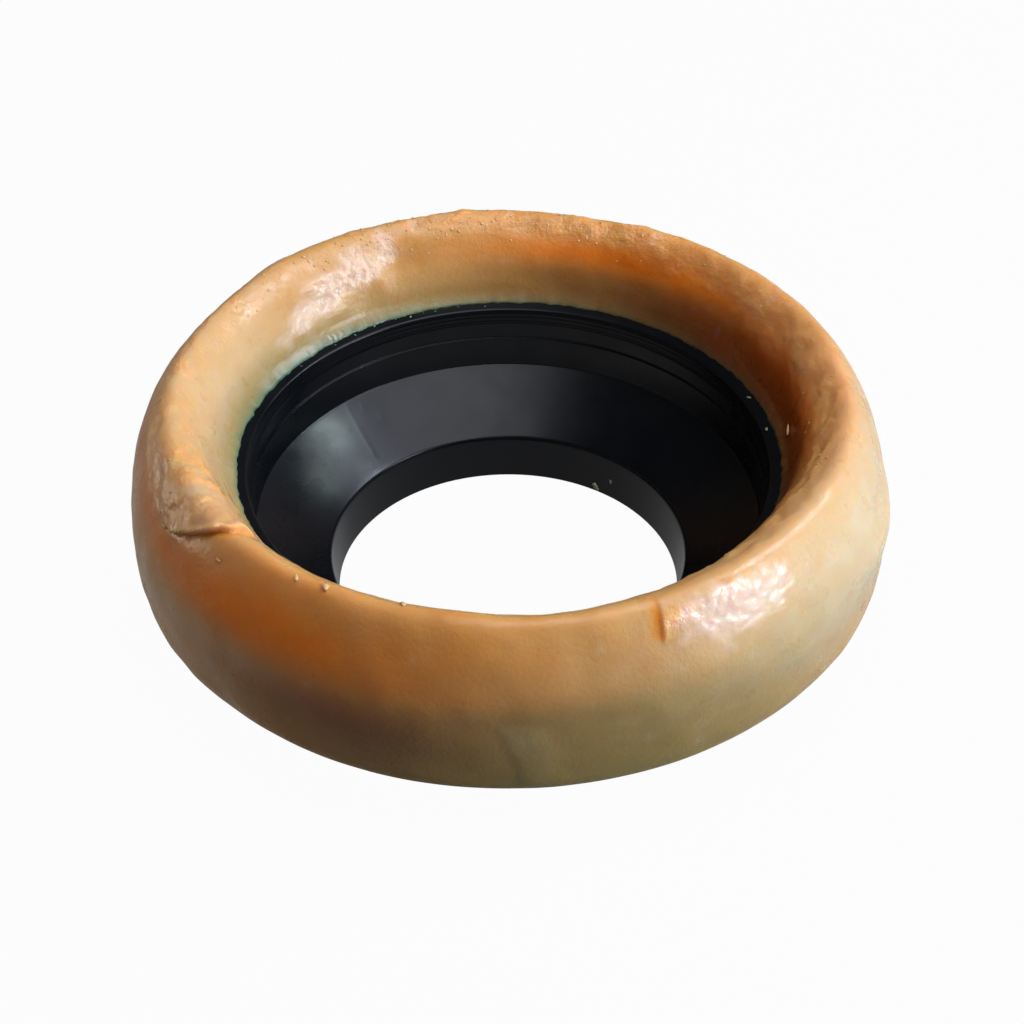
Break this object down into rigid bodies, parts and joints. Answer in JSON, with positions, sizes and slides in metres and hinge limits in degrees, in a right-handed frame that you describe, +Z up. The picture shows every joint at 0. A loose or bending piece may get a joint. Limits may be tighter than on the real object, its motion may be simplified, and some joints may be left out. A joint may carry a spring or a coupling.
{
  "type": "toilet pan seal",
  "caption": "Wax floor seal for a toilet pan: a thick soft wax ring cast round the collar of a black plastic funnel with a short spigot.",
  "frame": {"origin": "on the axis, in the plane of the spigot's open end, on which the seal stands", "axes": "+Z up along the axis, from the spigot towards the wax's crest; the seal is round, and +X and +Y only place the marks in the wax"},
  "size_m": [0.1312, 0.1313, 0.0441],
  "materials": {
    "wax": "soft amber-brown wax, greasy and slightly translucent, hand marked",
    "black_polyethylene": "satin black moulded polyethylene with greasy wax smears"
  },
  "bodies": {
    "root": {"wax_ring": "wax", "plastic_flange": "black_polyethylene"}
  },
  "joints": []
}
